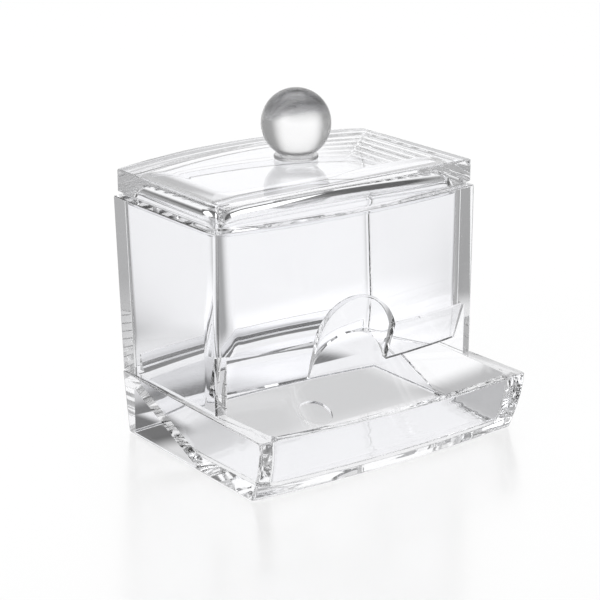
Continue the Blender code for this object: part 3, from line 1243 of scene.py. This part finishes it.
@dataclass(frozen=True)
class Softbox:
    """Soft square lamp that faces the object, in metres and watts."""

    name: str
    place: Triple
    size: float
    power: float = 2.0
    aim: Triple = (0.0, 0.0, 0.045)

    def build(self) -> None:
        """Hang the lamp and turn it to the object."""
        data = bpy.data.lights.new(self.name, "AREA")
        data.size = self.size
        data.energy = self.power
        lamp = bpy.data.objects.new(self.name, data)
        lamp.location = self.place
        aim = Vector(self.aim) - Vector(self.place)
        lamp.rotation_euler = aim.to_track_quat("-Z", "Y").to_euler()
        bpy.context.scene.collection.objects.link(lamp)


@dataclass
class Studio:
    """Pale floor, soft lamps and the surroundings that the plastic bends and mirrors.

    Levels are brightnesses, with 1 for white; the floor's levels are painted light and
    shade that the plastic bends and mirrors. Spans with _y, _x or _reach are the
    places in metres between which a level of the floor changes, and spans with
    _rise or _facing are the sines and cosines between which one of the sky does.
    Each painted shadow strip of the floor has the y spans of its start and end, and
    the x span at which it ends on the right.
    """

    floor_reach: float = 6.0
    floor_drop: float = 0.0003
    floor_colour: Triple = (0.9, 0.9, 0.9)
    floor_rough: float = 0.35
    floor_glow: float = 0.85
    glow_level: float = 1.06
    mirror_share: float = 0.18
    mirror_blur: float = 0.2
    azimuth: float = math.radians(32)
    sheet_level: float = 1.05
    side_level: float = 0.37
    open_level: float = 0.08
    front_level: float = 0.35
    edge_level: float = 0.92
    right_level: float = 0.5
    under_level: float = 0.72
    back_level: float = 1.05
    wake_level: float = 0.82
    glare_level: float = 1.22
    shade_level: float = 0.17
    gap_level: float = 0.1
    top_level: float = 0.2
    fill_level: float = 0.35
    front_y: Span = (-0.1, -0.03)
    foot_y: Span = (-0.01, 0.006)
    cove_y: Span = (0.03, 0.036)
    behind_y: Span = (0.058, 0.066)
    lit_y: Span = (0.014, 0.024)
    lit_x: Span = (-0.022, -0.016)
    beside_y: Span = (0.0, 0.012)
    beside_x: Span = (0.035, 0.048)
    wake_x: Span = (0.014, 0.038)
    far_y: Span = (0.088, 0.108)
    far_reach: Span = (0.105, 0.16)
    shadow_strips: tuple[tuple[Span, Span, Span], ...] = (
        ((0.0447, 0.0459), (0.05, 0.07), (0.038, 0.05)),
        ((0.011, 0.021), (0.06, 0.08), (-0.032, -0.027)))
    sheet_facing: Span = (0.8, 0.97)
    open_facing: Span = (0.2, 0.6)
    fill_facing: Span = (-0.9, 0.1)
    sheet_rise: Span = (0.5, 0.64)
    gap_rise: Span = (0.58, 0.66)
    top_rise: Span = (0.78, 0.9)

    def _sheet(self, graph: Graph, toward: Signal) -> tuple[Signal, Signal]:
        """Bright sheet behind the object, with dimmer surroundings at its sides.

        Args:
            graph: Node tree that it is built in.
            toward: Direction or place as seen from the object.

        Returns:
            The level in that direction, and how far the direction points at the sheet.
        """
        flat = graph.node("ShaderNodeVectorMath", {0: toward, 1: (1, 1, 0)},
                          operation="MULTIPLY")
        flat = graph.node("ShaderNodeVectorMath", {0: flat}, operation="NORMALIZE")
        axis = (math.sin(self.azimuth), math.cos(self.azimuth), 0)
        facing = graph.node("ShaderNodeVectorMath", {0: flat, 1: axis}, output="Value",
                            operation="DOT_PRODUCT")
        level = (facing.between(*self.sheet_facing, self.side_level, self.sheet_level)
                 + facing.between(*self.open_facing, self.open_level, 0))
        return level, facing

    def _painted_floor_shading(self, graph: Graph) -> Signal:
        """Painted shadows and painted light patches of the floor, as the plastic bends and mirrors
        it.

        Args:
            graph: Node tree of the floor's material.

        Returns:
            The level.
        """
        place = graph.node("ShaderNodeTexCoord", output="Object")
        across, deep, _ = graph.axes(place)
        reach = graph.node("ShaderNodeVectorMath", {0: place}, output="Value",
                           operation="LENGTH")
        sheet, _ = self._sheet(graph, place)
        # Painted shade and light: darker in front and under the holder, lit patches beside and
        # behind it, a painted glare to the right behind.
        under = (deep.between(*self.front_y, self.front_level, self.edge_level)
                 + deep.between(*self.foot_y, 0, self.under_level - self.edge_level)
                 + deep.between(*self.cove_y, 0, self.back_level - self.under_level))
        lit = deep.between(*self.lit_y) * across.between(*self.lit_x, 1, 0)
        under = under + (self.back_level - under) * lit
        beside = deep.between(*self.beside_y, self.right_level, self.back_level)
        wake = across.between(*self.wake_x, self.wake_level, self.glare_level)
        near = (under + (beside - under) * across.between(*self.beside_x)
                + deep.between(*self.behind_y) * (wake - self.back_level))
        far = reach.between(*self.far_reach).larger(deep.between(*self.far_y))
        # Painted shadow strips: one behind the holder and one at its back left.
        back, side = ((deep.between(*start) - deep.between(*end))
                      * across.between(*edge, 1, 0) for start, end, edge in self.shadow_strips)
        shade = back.larger(side)
        return (near + (sheet - near) * far) * (1 - shade * (1 - self.shade_level))

    def _floor(self) -> None:
        """Floor that takes the shadow, white to the camera, with painted shade and light
        where the plastic bends and mirrors it.
        """
        Workshop.clear_bench()
        bpy.ops.mesh.primitive_plane_add(size=self.floor_reach,
                                         location=(0, 0, -self.floor_drop))
        floor = Workshop.adopt("floor")
        material = bpy.data.materials.new("pale floor")
        graph = Graph(material)
        camera = graph.node("ShaderNodeLightPath", output="Is Camera Ray")
        bent = (graph.node("ShaderNodeLightPath", output="Is Glossy Ray")
                + graph.node("ShaderNodeLightPath", output="Is Transmission Ray")).between(0, 1)
        matt = graph.node("ShaderNodeBsdfPrincipled",
                          {"Base Color": (*self.floor_colour, 1),
                           "Roughness": self.floor_rough})
        glow = graph.node("ShaderNodeEmission", {"Color": WHITE, "Strength": self.glow_level})
        # Emission that paints shadow and light on the floor for bent and mirrored rays.
        painted_floor_light = graph.node("ShaderNodeEmission", {"Color": self._painted_floor_shading(graph)})
        seen = graph.node("ShaderNodeMixShader", {0: camera * self.floor_glow, 1: matt, 2: glow})
        mirror = graph.node("ShaderNodeBsdfAnisotropic",
                            {"Color": WHITE, "Roughness": self.mirror_blur})
        seen = graph.node("ShaderNodeMixShader",
                          {0: camera * self.mirror_share, 1: seen, 2: mirror})
        mixed = graph.node("ShaderNodeMixShader", {0: bent, 1: seen, 2: painted_floor_light})
        graph.node("ShaderNodeOutputMaterial", {"Surface": mixed})
        floor.data.materials.append(material)

    def _sky(self) -> None:
        """Surroundings: the sheet's low band, a top light and a weak fill from the front."""
        world = bpy.data.worlds.new("studio")
        bpy.context.scene.world = world
        graph = Graph(world)
        toward = graph.node("ShaderNodeTexCoord", output="Generated")
        _, _, rise = graph.axes(toward)
        sheet, facing = self._sheet(graph, toward)
        level = (sheet * rise.between(*self.sheet_rise, 1, 0)
                 + facing.between(*self.fill_facing, self.fill_level, 0)
                 + rise.between(*self.gap_rise, 0, self.gap_level)
                 + rise.between(*self.top_rise, 0, self.top_level))
        camera = graph.node("ShaderNodeLightPath", output="Is Camera Ray")
        light = graph.node("ShaderNodeBackground", {"Color": level})
        white = graph.node("ShaderNodeBackground", {"Color": WHITE})
        mixed = graph.node("ShaderNodeMixShader", {0: camera, 1: light, 2: white})
        graph.node("ShaderNodeOutputWorld", {"Surface": mixed})

    def build(self) -> None:
        """Set up the floor, the surroundings and the lamps."""
        self._floor()
        self._sky()
        Softbox("softbox_top", (0.1, 0.25, 0.9), 0.7).build()
        Softbox("softbox_left", (-0.9, -0.2, 0.5), 0.5).build()


@dataclass(frozen=True)
class PhotoCamera:
    """Camera at the photograph's place, solved from the object's corners."""

    focal_px: float = 1930.1
    image_px: float = 600.0
    sensor: float = 36.0
    turn: float = math.radians(36.61)
    pitch: float = math.radians(17.85)
    roll: float = math.radians(0.15)
    distance: float = 526.2
    slide_right: float = -5.58
    slide_up: float = -6.77
    target: Triple = (0.0, 30.0, 45.0)
    clip_start: float = 0.01

    def build(self) -> None:
        """Place the camera and make it the scene's own."""
        back = Vector((-math.sin(self.turn) * math.cos(self.pitch),
                       -math.cos(self.turn) * math.cos(self.pitch), math.sin(self.pitch)))
        right = Vector((math.cos(self.turn), -math.sin(self.turn), 0))
        above = back.cross(right)
        place = (spot(*self.target) + back * self.distance * MM
                 + right * self.slide_right * MM + above * self.slide_up * MM)
        rolled = right * math.cos(self.roll) + above * math.sin(self.roll)
        above = above * math.cos(self.roll) - right * math.sin(self.roll)
        data = bpy.data.cameras.new("photo_camera")
        data.sensor_width = self.sensor
        data.lens = self.focal_px * self.sensor / self.image_px
        data.clip_start = self.clip_start
        camera = bpy.data.objects.new("photo_camera", data)
        turned = Matrix((rolled, above, back)).transposed().to_4x4()
        camera.matrix_world = Matrix.Translation(place) @ turned
        bpy.context.scene.collection.objects.link(camera)
        bpy.context.scene.camera = camera
        LOG.info("camera at %s", [round(value, 3) for value in place])


def main() -> None:
    """Build the holder piece by piece and set up the studio."""
    logging.basicConfig(level=logging.INFO, format="%(name)s: %(message)s")
    seats = Seats()
    tray = ClearPlastic("clear tray", wave_depth=0.16, wave_scale=110.0,
                        stretch=(0.25, 1.0, 1.6), wave_end=-0.023)
    # The knob gets painted shade on its rim and much darker painted shade on its crown.
    knob = ClearPlastic("clear knob", tint=(0.98, 0.98, 0.984), roughness=0.2,
                        painted_rim_shade=0.85, painted_crown_shade=0.12)
    TrayBase(tray, seats).build()
    BoxSleeve(ClearPlastic("clear body"), seats).build()
    Lid(ClearPlastic("clear lid"), seats).build()
    Knob(knob, seats).build()
    Studio().build()
    PhotoCamera().build()
    scene = bpy.context.scene
    scene.view_settings.view_transform = "Standard"
    scene.cycles.max_bounces = scene.cycles.glossy_bounces = LIGHT_STEPS
    scene.cycles.transmission_bounces = LIGHT_STEPS


if __name__ == "__main__":
    main()
